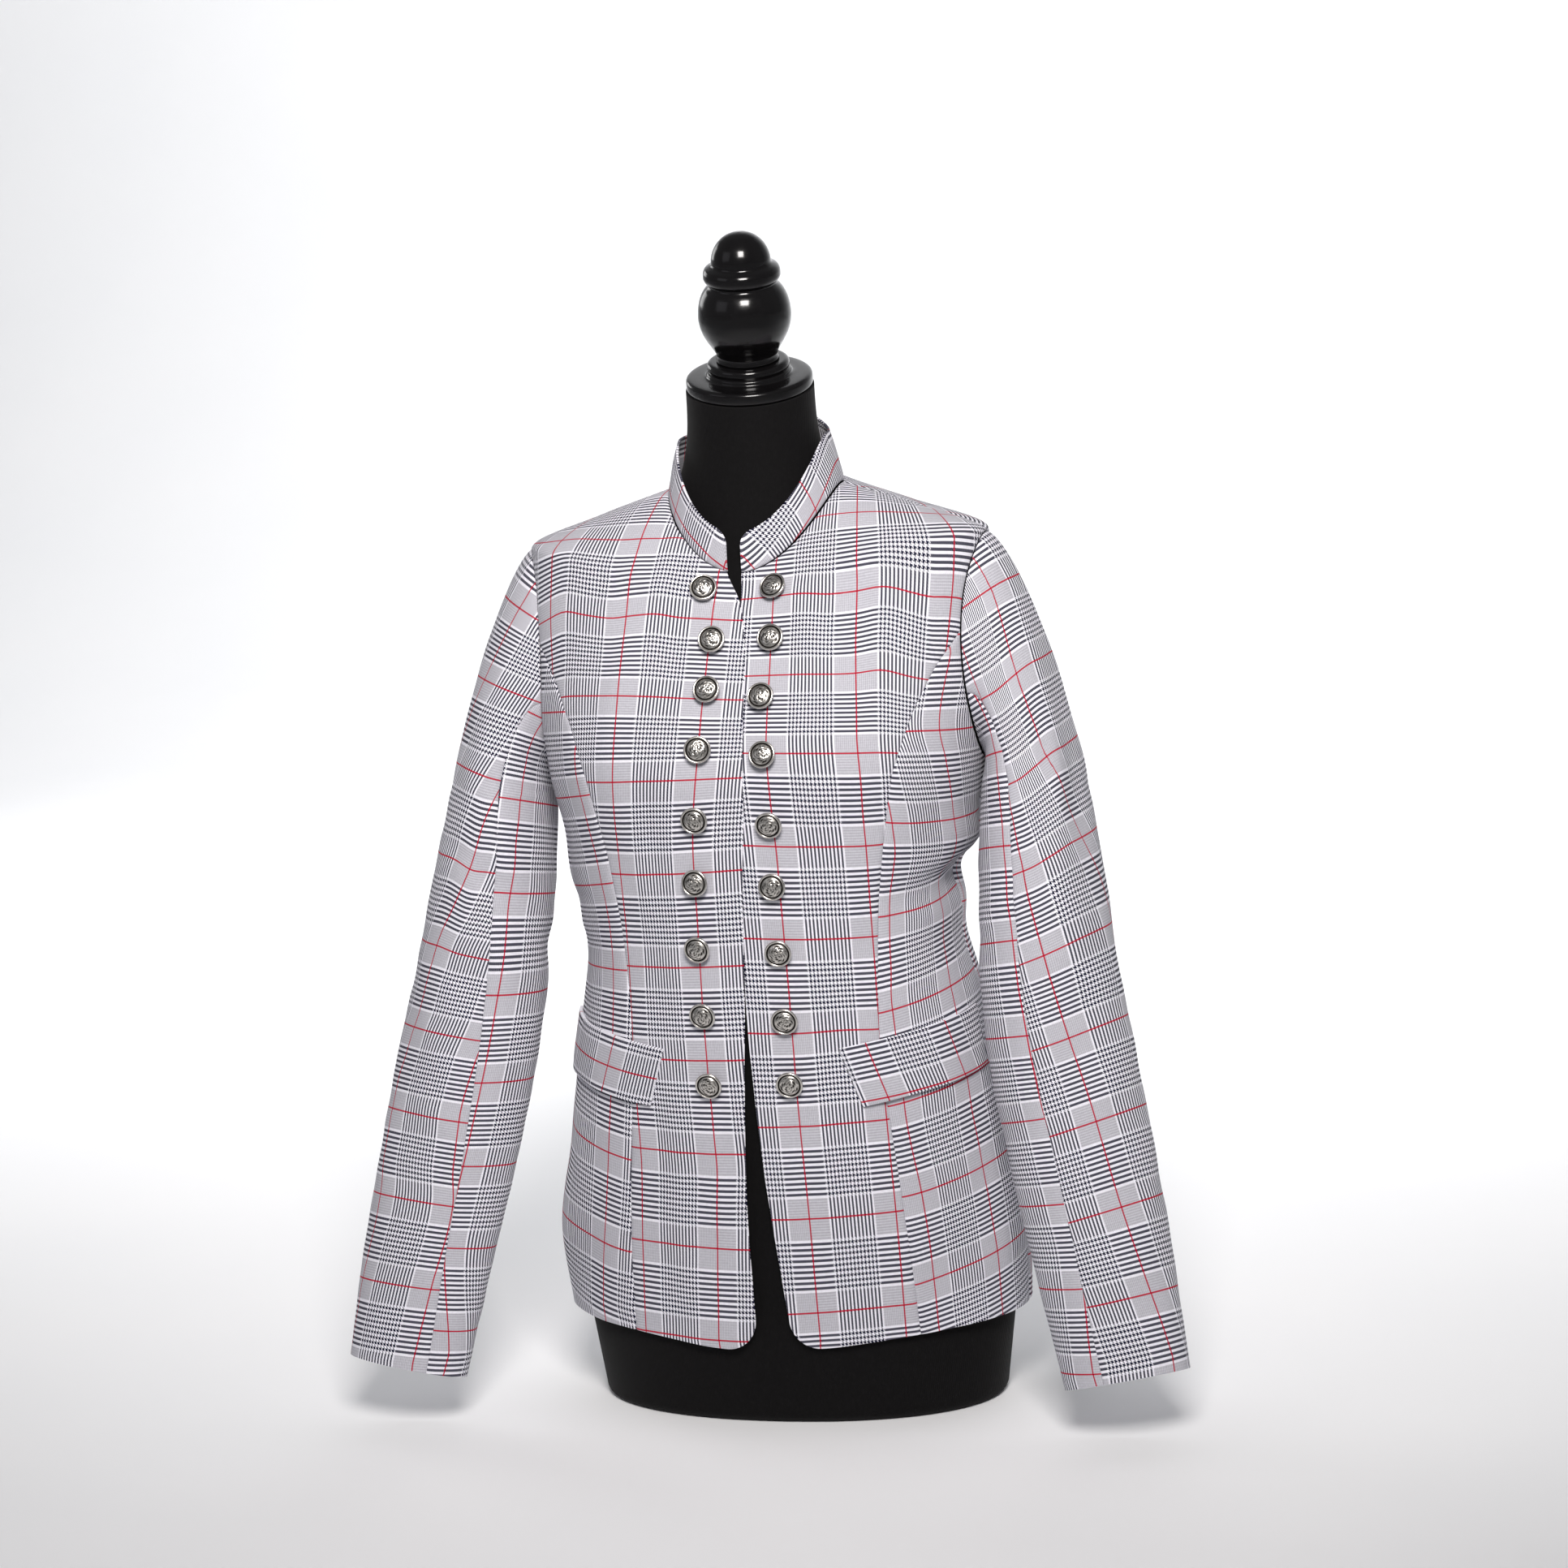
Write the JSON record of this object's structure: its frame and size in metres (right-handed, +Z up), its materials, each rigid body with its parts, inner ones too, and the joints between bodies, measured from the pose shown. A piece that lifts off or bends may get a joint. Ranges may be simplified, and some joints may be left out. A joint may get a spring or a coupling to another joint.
{
  "type": "blazer on a dress form",
  "caption": "Fitted hip-length blazer with stand collar, domed metal buttons, princess seams, pocket flaps and plain cuffs, resting on a limbless dress form with a turned cap.",
  "frame": {"origin": "middle of the dress form's flat base, which stands on the floor", "axes": "+Z up, -Y towards the front of the blazer, +X towards the wearer's left"},
  "size_m": [0.6773, 0.2713, 0.9323],
  "materials": {
    "cloth": "woven grey glen check with a red overcheck, matt",
    "antique_silver": "antique silver plating, darkened in the grooves",
    "black_jersey": "fine black jersey, matt",
    "black_lacquer": "turned wood, glossy black lacquer"
  },
  "bodies": {
    "root": {"front_right": "cloth", "front_left": "cloth", "side_front_right": "cloth", "side_front_left": "cloth", "back_right": "cloth", "back_left": "cloth", "sleeve_upper_right": "cloth", "sleeve_upper_left": "cloth", "sleeve_under_right": "cloth", "sleeve_under_left": "cloth", "flap_right": "cloth", "flap_left": "cloth", "collar": "cloth", "button_right_1": "antique_silver", "button_right_2": "antique_silver", "button_right_3": "antique_silver", "button_right_4": "antique_silver", "button_right_5": "antique_silver", "button_right_6": "antique_silver", "button_right_7": "antique_silver", "button_right_8": "antique_silver", "button_right_9": "antique_silver", "button_left_1": "antique_silver", "button_left_2": "antique_silver", "button_left_3": "antique_silver", "button_left_4": "antique_silver", "button_left_5": "antique_silver", "button_left_6": "antique_silver", "button_left_7": "antique_silver", "button_left_8": "antique_silver", "button_left_9": "antique_silver", "form_torso": "black_jersey", "neck_disc": "black_lacquer", "finial": "black_lacquer"}
  },
  "joints": []
}
